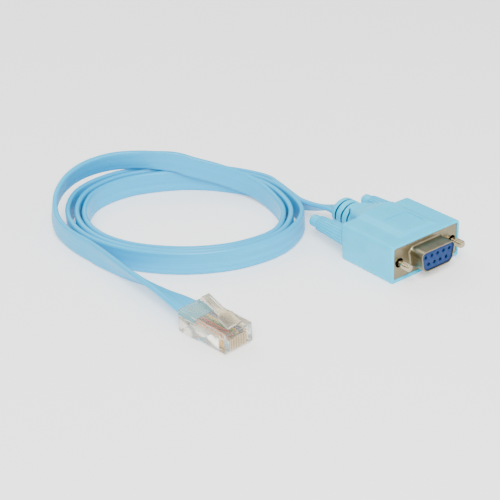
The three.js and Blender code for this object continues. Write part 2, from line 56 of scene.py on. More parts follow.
# %% [markdown]
# ## Camera
#
# The camera stands where the photograph was taken from. Its place was found by matching known sizes, such
# as the plug's width and the spacing of the two screws, so it is given as a turn round the cable, a height
# above the floor, a small roll and a distance, and the matrix is worked out from those.

# %% Camera
CAMERA_AIM = Vector((-35.71, 39.67, 0)) * MM
CAMERA_DISTANCE = 427.78 * MM
CAMERA_AZIMUTH = math.radians(-36.5)
CAMERA_ELEVATION = math.radians(27.8)
CAMERA_ROLL = math.radians(-2.78)
CAMERA_LENS = 86.05
CAMERA_SENSOR = 36


def place_camera():
    """A camera that looks at the aim point, turned about its own line of sight by the roll."""
    flat = math.cos(CAMERA_ELEVATION)
    back = Vector((math.sin(CAMERA_AZIMUTH) * flat, -math.cos(CAMERA_AZIMUTH) * flat,
                   math.sin(CAMERA_ELEVATION)))
    right = Vector((math.cos(CAMERA_AZIMUTH), math.sin(CAMERA_AZIMUTH), 0))
    up = back.cross(right)
    rolled_right = right * math.cos(CAMERA_ROLL) + up * math.sin(CAMERA_ROLL)
    rolled_up = up * math.cos(CAMERA_ROLL) - right * math.sin(CAMERA_ROLL)
    turn = Matrix((rolled_right, rolled_up, back)).transposed().to_4x4()
    bpy.ops.object.camera_add()
    camera = bpy.context.object
    camera.name = "photo_camera"
    camera.data.lens = CAMERA_LENS
    camera.data.sensor_width = CAMERA_SENSOR
    camera.data.clip_start = 10 * MM
    camera.matrix_world = Matrix.Translation(CAMERA_AIM + back * CAMERA_DISTANCE) @ turn
    bpy.context.scene.camera = camera
    return camera


camera = place_camera()
print("camera at", [round(x, 3) for x in camera.matrix_world.translation])

# %% [markdown]
# ## Helpers for colours and materials
#
# A colour is given as an sRGB hex value, and a shader works in linear light, so one function turns the
# first into the second. Another adds a shader node with its settings and its links in one line, which keeps
# a whole finish short enough to read.

# %% Colour and node helpers
def linear(hex_colour):
    """An sRGB hex value such as 97CFE2 as linear red, green, blue and a full alpha."""
    parts = [int(hex_colour[i:i + 2], 16) / 255 for i in (0, 2, 4)]
    return [p / 12.92 if p <= 0.04045 else ((p + 0.055) / 1.055) ** 2.4 for p in parts] + [1]


def add_node(tree, kind, links=None, **settings):
    """Adds a node. Settings name its properties or its sockets, and links name sockets to feed."""
    node = tree.nodes.new(kind)
    for name, value in settings.items():
        if hasattr(node, name):
            setattr(node, name, value)
        else:
            node.inputs[name.replace("_", " ")].default_value = value
    for name, source in (links or {}).items():
        tree.links.new(source, node.inputs[name])
    return node


def new_finish(name, **shader):
    """A material with only a Principled shader, and that shader's settings by socket name."""
    material = bpy.data.materials.new(name)
    material.use_nodes = True
    surface = material.node_tree.nodes["Principled BSDF"]
    for socket, value in shader.items():
        surface.inputs[socket.replace("_", " ")].default_value = value
    return material, material.node_tree, surface


# %% [markdown]
# A pattern has a real size. Object coordinates come in metres, so a Mapping node multiplies them by a
# thousand, and from there on every scale is one divided by a length in millimetres.

# %% Pattern helpers
def millimetres(tree):
    """The piece's own coordinates, in millimetres."""
    place = add_node(tree, "ShaderNodeTexCoord")
    return add_node(tree, "ShaderNodeMapping", {"Vector": place.outputs["Object"]},
                    Scale=(1000, 1000, 1000)).outputs["Vector"]


def mottle(tree, place, size_mm, first, second, low=0.4, high=0.6, detail=2.0):
    """Two close colours that drift into each other over size_mm."""
    noise = add_node(tree, "ShaderNodeTexNoise", {"Vector": place}, Scale=1 / size_mm, Detail=detail)
    ramp = add_node(tree, "ShaderNodeValToRGB", {"Fac": noise.outputs["Fac"]})
    for stop, at, colour in zip(ramp.color_ramp.elements, (low, high), (first, second)):
        stop.position = at
        stop.color = linear(colour)
    return ramp.outputs["Color"]


def grain(tree, surface, place, size_mm, height_mm, strength=1.0):
    """A fine grain of that size and height, as bump."""
    noise = add_node(tree, "ShaderNodeTexNoise", {"Vector": place}, Scale=1 / size_mm, Detail=3.0)
    bump = add_node(tree, "ShaderNodeBump", {"Height": noise.outputs["Fac"]}, Strength=strength,
                    Distance=height_mm * MM)
    tree.links.new(bump.outputs["Normal"], surface.inputs["Normal"])


def uneven_gloss(tree, surface, place, size_mm, low, high):
    """Roughness that wanders between low and high over size_mm."""
    noise = add_node(tree, "ShaderNodeTexNoise", {"Vector": place}, Scale=1 / size_mm, Detail=2.0)
    spread = add_node(tree, "ShaderNodeMapRange", {"Value": noise.outputs["Fac"]}, From_Min=0.3, From_Max=0.7,
                      To_Min=low, To_Max=high)
    tree.links.new(spread.outputs["Result"], surface.inputs["Roughness"])


def patterned(name, colours, gloss, bump=(), stretch=None, **shader):
    """A whole finish: what mottle, uneven_gloss and grain are told, and how far it is drawn out along Y."""
    material, tree, surface = new_finish(name, **shader)
    place = millimetres(tree)
    if stretch:
        drawn = add_node(tree, "ShaderNodeMapping", {"Vector": place}, Scale=(1, stretch, 1))
        place = drawn.outputs["Vector"]
    tree.links.new(mottle(tree, place, *colours), surface.inputs["Base Color"])
    uneven_gloss(tree, surface, place, *gloss)
    if bump:
        grain(tree, surface, place, *bump)
    return material


# %% [markdown]
# ## The vinyls
#
# The lead, hood and knobs are plasticised PVC. It is moulded or extruded with a fine spark-eroded grain, so
# it looks satin and a little milky: light goes in a fraction of a millimetre and comes out again, which
# softens the edges. That is a low subsurface weight with a short radius, and an IOR of about 1.53. The base
# colours are stronger than the real vinyl, because the default view transform pales them.

# %% Moulded vinyl of the hood and the knobs
VINYL_IOR = 1.53
VINYL = {"IOR": VINYL_IOR, "Specular_IOR_Level": 0.3, "Subsurface_Weight": 0.05, "Subsurface_Scale": 0.6 * MM,
         "Subsurface_Radius": (0.5, 0.9, 1.0)}


def moulded_vinyl(name, light, dark, grain_mm):
    """Spark-eroded PVC: satin, slightly milky, with a drift of colour too faint to see as a pattern."""
    return patterned(name, (9, dark, light), (4, 0.36, 0.48), (grain_mm, 0.012), **VINYL)


# The slot walls' vinyl is painted shade: colours darker than the hood's, standing in for the shade inside the
# boot's slots.
slot_painted_shade_vinyl = moulded_vinyl("moulded_vinyl_painted_slot_shade", "0B6A8E", "096083", 0.35)
hood_vinyl = moulded_vinyl("moulded_vinyl_hood", "18C0E6", "14BAE0", 0.35)
knob_vinyl = moulded_vinyl("moulded_vinyl_knob", "1CBFE4", "18B9DE", 0.3)
print("vinyls:", hood_vinyl.name, knob_vinyl.name)

# %% [markdown]
# The lead's jacket is extruded, so its marks run along it: a faint swell over each wire, and fine drawn
# lines from the die. They have to follow the band round every loop, which object coordinates can't do, so
# this finish reads the band's own UV map. U is millimetres across the band and V is millimetres along it.

# %% Extruded vinyl of the lead
WIRE_PITCH = 1.02
DIE_LINE = 0.16


def extruded_vinyl():
    """PVC jacket: drawn lines across U, and a slow drift of tone along V."""
    material, tree, surface = new_finish("extruded_vinyl_jacket", **VINYL)
    along = add_node(tree, "ShaderNodeUVMap", uv_map="lead_mm").outputs["UV"]
    stretched = add_node(tree, "ShaderNodeMapping", {"Vector": along}, Scale=(1, 0.02, 1)).outputs["Vector"]
    tree.links.new(mottle(tree, stretched, 1.6, "02A4D4", "04AEDF", 0.35, 0.65, 3.0),
                   surface.inputs["Base Color"])
    uneven_gloss(tree, surface, stretched, 1.2, 0.3, 0.44)
    lines = add_node(tree, "ShaderNodeTexNoise", {"Vector": stretched}, Scale=1 / DIE_LINE, Detail=2.0)
    bump = add_node(tree, "ShaderNodeBump", {"Height": lines.outputs["Fac"]}, Strength=0.7,
                    Distance=0.012 * MM)
    tree.links.new(bump.outputs["Normal"], surface.inputs["Normal"])
    return material


jacket_vinyl = extruded_vinyl()
print("jacket finish:", jacket_vinyl.name)

# %% [markdown]
# ## The route of the lead
#
# The lead leaves the hood flat, turns a quarter over and stands on its edge for three and a half loose
# turns. The last half turn climbs over the others, comes down outside them, and lies flat again as it goes
# into the plug. Each point is x, y, the height of the band's middle, and its lean in degrees: 0 stands it on
# its edge and 90 lays it flat, leaning to the left of travel. The turns are worked out in a loop from their
# radii at sixteen angles.

# %% Route of the lead
LEAD_WIDTH = 8.7
LEAD_THICKNESS = 1.9
ON_EDGE = LEAD_WIDTH / 2 + 0.05
BOOT_END = (0, 30.5, 7.6)
LOOP_CENTRE = (-45, 71.3)

lead_in = [
    (0, 19.9, 7.6, 90),
    (*BOOT_END, 90),
    (-0.5, 35.2, 7, 74),
    (-1.9, 40.6, 5.8, 58),
    (-3.2, 47, 4.9, 43),
    (-3.5, 54.2, 4.5, 20),
    (-2.9, 62.8, ON_EDGE, 3),
]
STRANDS = [
    (0, (35.4, 38.0, 40.5, 42.9)),
    (22.5, (32.8, 35.0, 37.6, 40.2)),
    (45, (31.8, 34.0, 36.6, 39.3)),
    (67.5, (34.5, 37.9, 41.2)),
    (90, (36.4, 40.4, 43.9)),
    (112.5, (37.2, 40.5, 44.6)),
    (135, (34.9, 37.9, 41.5)),
    (157.5, (32.9, 35.3, 38.1)),
    (180, (31.2, 33.3, 35.5)),
    (202.5, (30.1, 32.2, 34.3)),
    (225, (30.3, 32.4, 34.6)),
    (247.5, (32.7, 34.8, 36.9)),
    (270, (36.8, 38.8, 40.9)),
    (292.5, (40.9, 43.0, 45.1)),
    (315, (39.6, 42.4, 46.4)),
    (337.5, (37.1, 39.9, 43.0)),
]
FLOOR_TURNS = 3
CROSSING = [
    (0, 35.4, ON_EDGE + 1.5, 0),
    (22.5, 32.8, ON_EDGE + 3.9, 0),
    (45, 31.8, ON_EDGE + 6.7, 0),
    (56, 32.2, ON_EDGE + 8.7, 4),
    (67.5, 34.6, ON_EDGE + 9.1, 12),
    (78.75, 39.1, ON_EDGE + 9.1, 16),
    (90, 43.6, ON_EDGE + 9, 18),
    (101.25, 45.7, ON_EDGE + 9, 20),
    (112.5, 46.4, ON_EDGE + 8.8, 20),
    (123.75, 46.8, ON_EDGE + 7.4, 18),
    (135, 46.4, ON_EDGE + 4.6, 12),
    (146.25, 44.4, ON_EDGE + 1.4, 5),
    (157.5, 41.3, ON_EDGE, 0),
    (168.75, 39.2, ON_EDGE, 0),
    (180, 37.9, ON_EDGE, 0),
]
lead_out = [
    (-82.8, 65.5, ON_EDGE, -2),
    (-82.5, 59, 4.5, -11),
    (-82.2, 52, 4.5, -21),
    (-81.7, 46, 4.5, -32),
    (-81.2, 40, 4.7, -43),
    (-80.9, 34, 4.9, -51),
    (-80.7, 28, 5.1, -59),
    (-80.6, 21.5, 5.4, -72),
]


def around_loop(angle, radius, height, lean):
    """A point at that angle and radius about the middle of the loops."""
    turn = math.radians(angle)
    return (LOOP_CENTRE[0] + radius * math.cos(turn), LOOP_CENTRE[1] + radius * math.sin(turn), height, lean)


turns = [around_loop(angle, radii[-1 - turn], ON_EDGE, 0) for turn in range(FLOOR_TURNS)
         for angle, radii in STRANDS]
climb = [around_loop(*point) for point in CROSSING]
print("route points in the turns:", len(turns) + len(climb))

# %% [markdown]
# The plug has a frame of its own: its nose is at y = 0, its lead leaves along +y, and it is turned five
# degrees on the floor. Its pieces are made in that frame and then put in place with one matrix.

# %% Frame of the plug
PLUG_PLACE = Vector((-78.6, -10.2, 0)) * MM
PLUG_YAW = math.radians(5)
PLUG_LENGTH = 22.2
PLUG_LEAD_AXIS = 5.5
PLUG_JACKET_STOP = 14.9
plug_frame = Matrix.Translation(PLUG_PLACE) @ Matrix.Rotation(PLUG_YAW, 4, "Z")


def beside_plug(y):
    """A route point inside the plug, y millimetres behind its nose."""
    place = plug_frame @ (Vector((0, y, PLUG_LEAD_AXIS)) * MM)
    return (*[x / MM for x in place], -90)


route = lead_in + turns + climb + lead_out + [beside_plug(PLUG_LENGTH), beside_plug(PLUG_JACKET_STOP)]
print("route points:", len(route))

# %% [markdown]
# ## The lead
#
# A Blender curve could be bevelled into a band, but its twist is hard to hold along three turns. So the
# band is made as a tube of rings: a smooth curve runs through the route's points, and each ring is turned by
# the lean there. The curve is the centripetal kind of Catmull-Rom spline, which makes no kinks where points
# are unevenly spaced.

# %% Smooth curve through the route
RING_STEP = 2.0


def spline(points, steps):
    """Centripetal Catmull-Rom through the points, with steps to a stretch. Each point has four numbers."""
    path = [Vector(p) for p in points]
    path = [2 * path[0] - path[1], *path, 2 * path[-1] - path[-2]]
    line = []
    for before, start, end, after in zip(path, path[1:], path[2:], path[3:]):
        gaps = [math.sqrt((b - a).to_3d().length) for a, b in ((before, start), (start, end), (end, after))]
        leave = ((start - before) / gaps[0] - (end - before) / (gaps[0] + gaps[1]) + (end - start) / gaps[1])
        arrive = ((end - start) / gaps[1] - (after - start) / (gaps[1] + gaps[2]) + (after - end) / gaps[2])
        leave, arrive = leave * gaps[1], arrive * gaps[1]
        for step in range(steps):
            t = step / steps
            line.append(start + leave * t + (3 * (end - start) - 2 * leave - arrive) * t * t
                        + (2 * (start - end) + leave + arrive) * t ** 3)
    return line + [path[-2]]


def evenly(line, step):
    """The same line with its points a step apart."""
    spaced, left = [line[0]], step
    for start, end in zip(line, line[1:]):
        stretch = (end - start).to_3d().length
        done = 0.0
        while stretch - done >= left:
            done += left
            spaced.append(start.lerp(end, done / stretch))
            left = step
        left -= stretch - done
    return spaced + [line[-1]]


lead_line = evenly(spline(route, 24), RING_STEP)
lead_length = sum((b - a).to_3d().length for a, b in zip(lead_line, lead_line[1:]))
print("lead rings:", len(lead_line), "length in mm:", round(lead_length, 1))

# %% [markdown]
# The section is a flat band with round edges. Over each wire its two faces swell by a few hundredths of a
# millimetre, as the jacket of a real flat lead does. The shape of the section is real geometry, so the
# swells catch the light on every side.

# %% Section of the lead
WIRE_COUNT = 8
SWELL = 0.05
SWELL_STEPS = 4
EDGE_STEPS = 8


def lead_section():
    """Points across the band, counted round it: (across, through) in millimetres."""
    edge = LEAD_THICKNESS / 2
    straight = LEAD_WIDTH / 2 - edge
    count = WIRE_COUNT * SWELL_STEPS
    side = []
    for i in range(1, count):
        across = straight * (2 * i / count - 1)
        swell = abs(math.sin(math.pi * (across / WIRE_PITCH)))
        side.append((across, edge - SWELL * (1 - swell)))
    cap = [(straight + edge * math.cos(a), edge * math.sin(a))
           for a in (math.pi * (0.5 - i / EDGE_STEPS) for i in range(EDGE_STEPS + 1))]
    return side + cap + [(-x, -y) for x, y in side] + [(-x, -y) for x, y in cap]


section = lead_section()
print("points in the section:", len(section))


# %% Build the lead
def lead_frames(line):
    """Middle, width direction and thickness direction of each ring."""
    frames = []
    last = len(line) - 1
    for i, point in enumerate(line):
        tangent = (line[min(i + 1, last)] - line[max(i - 1, 0)]).to_3d().normalized()
        left = Vector((0, 0, 1)).cross(tangent).normalized()
        upright = tangent.cross(left)
        lean = math.radians(point[3])
        width = upright * math.cos(lean) + left * math.sin(lean)
        frames.append((point.to_3d(), width, tangent.cross(width)))
    return frames


def make_lead():
    """The band as a closed mesh of rings, with a UV map in millimetres across and along it."""
    count = len(section)
    rings = lead_frames(lead_line)
    points = [(middle + width * a + through * t) * MM for middle, width, through in rings for a, t in section]
    faces = [(r * count + i, r * count + (i + 1) % count, (r + 1) * count + (i + 1) % count,
              (r + 1) * count + i) for r in range(len(rings) - 1) for i in range(count)]
    last = (len(rings) - 1) * count
    ends = [tuple(reversed(range(count))), tuple(range(last, last + count))]
    mesh = bpy.data.meshes.new("flat_lead_band")
    mesh.from_pydata(points, [], faces + ends)
    around = [0.0]
    for a, b in zip(section, section[1:] + section[:1]):
        around.append(around[-1] + math.dist(a, b))
    uv = mesh.uv_layers.new(name="lead_mm")
    for face in mesh.polygons[:len(faces)]:
        ring, i = divmod(face.index, count)
        corners = ((around[i], ring), (around[i + 1], ring), (around[i + 1], ring + 1), (around[i], ring + 1))
        for loop, (across, row) in zip(face.loop_indices, corners):
            uv.data[loop].uv = (across, row * RING_STEP)
    piece = bpy.data.objects.new("flat_lead_band", mesh)
    bpy.context.collection.objects.link(piece)
    return piece


lead = make_lead()
print("lead faces:", len(lead.data.polygons))

# %% [markdown]
# The lead is the one free cord here, and it shows from end to end, so its length is the route's own. It
# starts inside the hood's boot and ends in the plug. The plug and everything in it travel with the lead.

# %% Put the lead in place
for face in lead.data.polygons:
    face.use_smooth = True
lead.data.materials.append(jacket_vinyl)
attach(lead, "cable")
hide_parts("flat_lead")

# %% [markdown]
# ## Modelling helpers
#
# Operators act on whatever is selected, so every step starts from nothing selected. Faces, edges and
# vertices are picked in code by where they are. A finished piece has its place in its mesh and its object at
# the origin, as the frame's own nodes do.

# %% Helpers for selecting and finishing
def only(*pieces):
    """Selects these pieces and nothing else. The first is the active one."""
    bpy.ops.object.select_all(action="DESELECT")
    for piece in pieces:
        piece.select_set(True)
    bpy.context.view_layer.objects.active = pieces[0]
    return pieces[0]


def pick(piece, kind, test):
    """Edit mode, with only the faces, edges or vertices selected whose middle, in mm, passes the test."""
    only(piece)
    bpy.ops.object.mode_set(mode="EDIT")
    bpy.ops.mesh.select_mode(type=kind)
    bpy.ops.mesh.select_all(action="DESELECT")
    bpy.ops.object.mode_set(mode="OBJECT")
    mesh = piece.data
    parts = {"VERT": mesh.vertices, "EDGE": mesh.edges, "FACE": mesh.polygons}[kind]
    for part in parts:
        ends = [part.co] if kind == "VERT" else [mesh.vertices[i].co for i in part.vertices]
        middle = sum(ends, Vector()) / len(ends) / MM
        run = (ends[-1] - ends[0]).normalized() if kind == "EDGE" else part.normal
        part.select = test(middle, run)
    bpy.ops.object.mode_set(mode="EDIT")


def leave():
    """Back to object mode."""
    bpy.ops.object.mode_set(mode="OBJECT")


def resize(piece, kind, test, value, about=(0, 0, 0)):
    """Scales what passes the test about a point in millimetres."""
    pick(piece, kind, test)
    bpy.ops.transform.resize(value=value, center_override=tuple(v * MM for v in about))
    leave()


def shift(piece, kind, test, by):
    """Moves what passes the test by that many millimetres."""
    pick(piece, kind, test)
    bpy.ops.transform.translate(value=tuple(v * MM for v in by))
    leave()


def faces_back(middle, run):
    """True for a face that looks along Y."""
    return run.y > 0.9


def extend(piece, length):
    """Extrudes the face that looks along Y by that many millimetres."""
    pick(piece, "FACE", faces_back)
    bpy.ops.mesh.extrude_region_move(TRANSFORM_OT_translate={"value": (0, length * MM, 0)})
    leave()


def settle(piece, name=None):
    """Moves the piece's place, turn and scale into its mesh."""
    only(piece)
    bpy.ops.object.transform_apply(location=True, rotation=True, scale=True)
    if name:
        piece.name = name
        piece.data.name = name
    return piece


def modify(piece, kind, **settings):
    """Adds a modifier with those settings and applies it."""
    only(piece)
    modifier = piece.modifiers.new(kind.lower(), kind)
    for name, value in settings.items():
        setattr(modifier, name, value)
    bpy.ops.object.modifier_apply(modifier=modifier.name)
    return piece


def boolean(piece, operation, *tools):
    """Cuts, joins or meets the piece with each tool, and removes the tools."""
    for tool in tools:
        modify(piece, "BOOLEAN", operation=operation, object=tool, solver="EXACT")
        bpy.data.objects.remove(tool, do_unlink=True)
    return piece


def join(first, *rest):
    """One object from several that don't touch."""
    only(first, *rest)
    bpy.ops.object.join()
    return first


def copy_of(piece, shift=(0, 0, 0)):
    """A copy with a mesh of its own, moved by that many millimetres."""
    twin = piece.copy()
    twin.data = piece.data.copy()
    bpy.context.collection.objects.link(twin)
    twin.data.transform(Matrix.Translation(Vector(shift) * MM))
    return twin


def smooth(piece, angle=35):
    """Smooth shading, with edges sharper than the angle left crisp."""
    only(piece)
    bpy.ops.object.shade_smooth_by_angle(angle=math.radians(angle))
    return piece


# %% Helpers for first shapes
def block(low, high):
    """A box between two corners, in millimetres."""
    low, high = Vector(low) * MM, Vector(high) * MM
    bpy.ops.mesh.primitive_cube_add(size=1, location=(low + high) / 2, scale=high - low)
    return settle(bpy.context.object)


def rod(radius, front, back, x=0, z=0, sides=32, back_radius=None):
    """A round bar along Y, in millimetres. With back_radius it is a cone."""
    bpy.ops.mesh.primitive_cone_add(vertices=sides, radius1=radius * MM,
                                    radius2=(radius if back_radius is None else back_radius) * MM,
                                    depth=(back - front) * MM, rotation=(-math.pi / 2, 0, 0),
                                    location=(x * MM, (front + back) / 2 * MM, z * MM))
    return settle(bpy.context.object)


def along_y(run):
    """True for an edge that runs along Y."""
    return abs(run.y) > 0.99


def everything(middle, run):
    """True for any face, edge or vertex."""
    return True


def rim(low=-math.inf, high=math.inf):
    """A test for the edges that run round a bar, with their y between these."""
    return lambda middle, run: not along_y(run) and low < middle.y < high


def round_edges(piece, width, segments=3, test=everything):
    """Bevels the edges that pass the test."""
    pick(piece, "EDGE", test)
    bpy.ops.mesh.bevel(offset=width * MM, segments=segments, profile=0.5, affect="EDGES")
    leave()
    return piece


def soft_bar(width, height, middle_z, front, back, corner, segments=4):
    """A bar along Y with its four long edges rounded."""
    bar = block((-width / 2, front, middle_z - height / 2), (width / 2, back, middle_z + height / 2))
    return round_edges(bar, corner, segments, lambda middle, run: along_y(run))


def give_finish(piece, *materials):
    """These materials and no others, in that order."""
    piece.data.materials.clear()
    for material in materials:
        piece.data.materials.append(material)
    return piece


def finish_piece(piece, name, body, slot, *materials, replaced=(), angle=35):
    """Names a piece, shades it, gives it its finish, and says what it rides on and stands for."""
    settle(piece, name)
    smooth(piece, angle)
    if materials:
        give_finish(piece, *materials)
    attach(piece, body)
    if replaced:
        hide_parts(*replaced)
    print(name, "faces:", len(piece.data.polygons))
    return piece


# %% [markdown]
# ## The hood
#
# The hood, its neck and the ribbed strain relief are one shot of soft vinyl round the finished connector.
# Nothing on such a moulding is sharp: every join between the raised middle, the neck and the boot runs into
# the next with a small fillet. Bevelling each of those by hand is slow, so the blocks are joined, remeshed
# into an even skin and smoothed, which rounds every edge alike. The pockets are cut after that, because steel
# in the mould leaves those crisp.

# %% Sizes of the hood
HOOD_LOW, HOOD_HIGH = (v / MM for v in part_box("hood"))
FLANGE_LOW, FLANGE_HIGH = (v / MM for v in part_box("front_shell"))
INSULATOR_LOW, INSULATOR_HIGH = (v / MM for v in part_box("insulator"))
AXIS_HEIGHT = 7.2
HOOD_FRONT = HOOD_LOW.y
HOOD_REAR = 12.7
HOOD_HALF = HOOD_HIGH.x
HOOD_TOP = 13.9
PLATEAU_TOP = HOOD_HIGH.z
PLATEAU_FOOT = 8.8
PLATEAU_CROWN = 6.4
PLATEAU_FRONT = HOOD_FRONT + 2
PLATEAU_SLOPE = 2.4
NECK_END = 19.9
NECK_FLOOR = 1.6
TONGUE_HALF = 5
TONGUE_END = 22.9
TONGUE_TAPER = 0.75
BOOT_AXIS = BOOT_END[2]
BOOT_WIDTH = 11
BOOT_HEIGHT = 9.8
SKIN = 0.25
SKIN_SMOOTHING = 4
print("hood from", tuple(round(v, 1) for v in HOOD_LOW), "to", tuple(round(v, 1) for v in HOOD_HIGH))


# %% Model the hood's blocks
def hood_block():
    """The main block, its long top edges rounded more than the rest."""
    piece = block((-HOOD_HALF, HOOD_FRONT, 0), (HOOD_HALF, HOOD_REAR, HOOD_TOP))
    round_edges(piece, 1.2, 4, lambda middle, run: along_y(run) and middle.z > AXIS_HEIGHT)
    round_edges(piece, 0.9, 3, lambda middle, run: along_y(run) and middle.z < 0.1)
    return round_edges(piece, 0.5, 2, lambda middle, run: abs(middle.y - HOOD_FRONT) < 0.01
                       or abs(middle.y - HOOD_REAR) < 0.01)


def raised_middle():
    """The plateau on top: its sides and its front slope in to the crown."""
    piece = block((-PLATEAU_FOOT, PLATEAU_FRONT, HOOD_TOP - 2), (PLATEAU_FOOT, HOOD_REAR, PLATEAU_TOP))
    crown = PLATEAU_CROWN / PLATEAU_FOOT
    resize(piece, "VERT", lambda middle, run: middle.z > HOOD_TOP, (crown, 1, 1))
    shift(piece, "VERT", lambda middle, run: middle.z > HOOD_TOP and middle.y < 0, (0, PLATEAU_SLOPE, 0))
    resize(piece, "VERT", lambda middle, run: middle.z < HOOD_TOP, (1 + 2 * (1 - crown), 1, 1))
    return piece


def neck():
    """The wedge from the plateau's width at the hood down to the boot."""
    piece = block((-PLATEAU_FOOT, HOOD_REAR - 1, NECK_FLOOR), (PLATEAU_FOOT, NECK_END, PLATEAU_TOP))
    middle_z = (PLATEAU_TOP + NECK_FLOOR) / 2
    narrower = (BOOT_WIDTH / 2 / PLATEAU_FOOT, 1, BOOT_HEIGHT / (PLATEAU_TOP - NECK_FLOOR))
    resize(piece, "FACE", faces_back, narrower, (0, NECK_END, middle_z))
    shift(piece, "FACE", faces_back, (0, 0, BOOT_AXIS - middle_z))
    return round_edges(piece, 1.6, 4, lambda middle, run: abs(run.y) > 0.7 and middle.z > AXIS_HEIGHT)


def neck_tongue():
    """The flat end of the neck that runs on over the boot and hides the top of the third slot."""
    piece = block((-TONGUE_HALF, NECK_END - 2, BOOT_AXIS),
                  (TONGUE_HALF, TONGUE_END, BOOT_AXIS + BOOT_HEIGHT / 2))
    resize(piece, "FACE", faces_back, (TONGUE_TAPER, 1, 1))
    return round_edges(piece, 1.0, 4, lambda middle, run: middle.z > BOOT_AXIS + 1)


def oval_bar(width, height, front, back, sides=72):
    """A bar along Y of oval section, about the boot's own line."""
    piece = rod(0.5, front, back, sides=sides)
    resize(piece, "VERT", everything, (width, 1, height))
    shift(piece, "VERT", everything, (0, 0, BOOT_AXIS))
    return piece


def boot():
    """The strain relief before its slots: an oval bar with a rounded end."""
    piece = oval_bar(BOOT_WIDTH, BOOT_HEIGHT, HOOD_REAR, BOOT_END[1])
    return round_edges(piece, 1.1, 4, rim(BOOT_END[1] - 0.01))


# %% [markdown]
# The boot bends with the lead because of three slots round it, which leave a web on each side. They are
# deeper above and below than at the sides, where the lead inside is wide. In the photograph they read as
# three dark curved lines, so they are cut as real slots. They are cut twice: shallow before the skin is
# grown, which softens their lips, and then narrower and to full depth, so that their walls stay crisp. Those
# walls have a darker vinyl of their own, which is painted shade for the shade that falls into such slots.

# %% Cut the slots and grow the skin
SLOT_COUNT = 3
SLOT_PITCH = 3.1
SLOT_FIRST = 2.6
SLOT_WIDTH = 0.95
SLOT_SIDE_DEPTH = 0.8
SLOT_TOP_DEPTH = 3.2
SOFT_SHARE = 0.2
CRISP_WIDTH_SHARE = 0.85
COVER_HALF = TONGUE_HALF * 0.72
WEB_HEIGHT = 1.3
WEB_DROP = 2


def boot_slot(middle, width, share):
    """A cutter for one slot: an oval ring without the two webs, down to a share of the full depth."""
    front, back = middle - width / 2, middle + width / 2
    ring = oval_bar(BOOT_WIDTH + 2, BOOT_HEIGHT + 2, front, back)
    core = oval_bar(BOOT_WIDTH - 2 * SLOT_SIDE_DEPTH * share, BOOT_HEIGHT - 2 * SLOT_TOP_DEPTH * share,
                    front - 1, back + 1)
    web = block((-BOOT_WIDTH, front - 1, BOOT_AXIS - WEB_DROP - WEB_HEIGHT / 2),
                (BOOT_WIDTH, back + 1, BOOT_AXIS - WEB_DROP + WEB_HEIGHT / 2))
    return boolean(ring, "DIFFERENCE", core, web)


def boot_slots(width, share):
    """All the slots as one cutter. The third is shorter, because the neck's end covers its top."""
    cutters = [boot_slot(BOOT_END[1] - SLOT_FIRST - i * SLOT_PITCH, width, share) for i in range(SLOT_COUNT)]
    cover = block((-COVER_HALF, NECK_END, BOOT_AXIS + 1), (COVER_HALF, TONGUE_END, PLATEAU_TOP))
    return join(*cutters[:-1], boolean(cutters[-1], "DIFFERENCE", cover))


hood = boolean(hood_block(), "UNION", raised_middle(), neck(), boot())
boolean(hood, "DIFFERENCE", boot_slots(SLOT_WIDTH, SOFT_SHARE))
boolean(hood, "UNION", neck_tongue())
modify(hood, "REMESH", mode="VOXEL", voxel_size=SKIN * MM, adaptivity=0.0)
modify(hood, "SMOOTH", factor=0.5, iterations=SKIN_SMOOTHING)
give_finish(hood, hood_vinyl)
# The crisp cutter carries the painted-shade vinyl onto the slot walls through the boolean's material
# transfer.
crisp_slots = give_finish(boot_slots(SLOT_WIDTH * CRISP_WIDTH_SHARE, 1.0), slot_painted_shade_vinyl)
modify(hood, "BOOLEAN", operation="DIFFERENCE", object=crisp_slots, solver="EXACT", material_mode="TRANSFER")
bpy.data.objects.remove(crisp_slots, do_unlink=True)
print("hood skin faces:", len(hood.data.polygons))

# %% Cut the panel and the pockets
FLANGE_POCKET = 0.02
FLANGE_FACE = HOOD_FRONT + 0.3
FLANGE_CORNER = 0.7
MOUTH_SLOPE = 0.4
BLOCK_PLAY = 0.6
LEAD_PLAY = 0.2
PANEL = (5.5, -6.1, 3.1)


def panel_recess():
    """A shallow rounded rectangle pressed into the plateau."""
    half, front, back = PANEL
    piece = block((-half, front, PLATEAU_TOP - 0.3), (half, back, PLATEAU_TOP + 1))
    return round_edges(piece, 0.9, 4, lambda middle, run: abs(run.z) > 0.99)


flange_width, flange_height = 2 * FLANGE_HIGH.x, FLANGE_HIGH.z - FLANGE_LOW.z
flange_pocket = soft_bar(flange_width + 2 * FLANGE_POCKET, flange_height + 2 * FLANGE_POCKET, AXIS_HEIGHT,
                         HOOD_FRONT - 1, HOOD_FRONT + 2.6, FLANGE_CORNER)
pocket_mouth = soft_bar(flange_width, flange_height, AXIS_HEIGHT, HOOD_FRONT - 0.1, FLANGE_FACE,
                        FLANGE_CORNER)
resize(pocket_mouth, "VERT", lambda middle, run: middle.y < HOOD_FRONT,
       (1 + 2 * MOUTH_SLOPE / flange_width, 1, 1 + 2 * MOUTH_SLOPE / flange_height), (0, 0, AXIS_HEIGHT))
block_pocket = soft_bar(2 * INSULATOR_HIGH.x + BLOCK_PLAY, INSULATOR_HIGH.z - INSULATOR_LOW.z + BLOCK_PLAY,
                        AXIS_HEIGHT, HOOD_FRONT, INSULATOR_HIGH.y + 1.6, 0.5)
lead_slot = soft_bar(LEAD_WIDTH + LEAD_PLAY, LEAD_THICKNESS + LEAD_PLAY, BOOT_AXIS, NECK_END - 0.4,
                     BOOT_END[1] + 1, 0.9)
SCREW_X = 24.99 / 2
SCREW_HOLE = 1.75
bores = [rod(SCREW_HOLE, HOOD_FRONT, HOOD_REAR + 1, x, AXIS_HEIGHT) for x in (-SCREW_X, SCREW_X)]
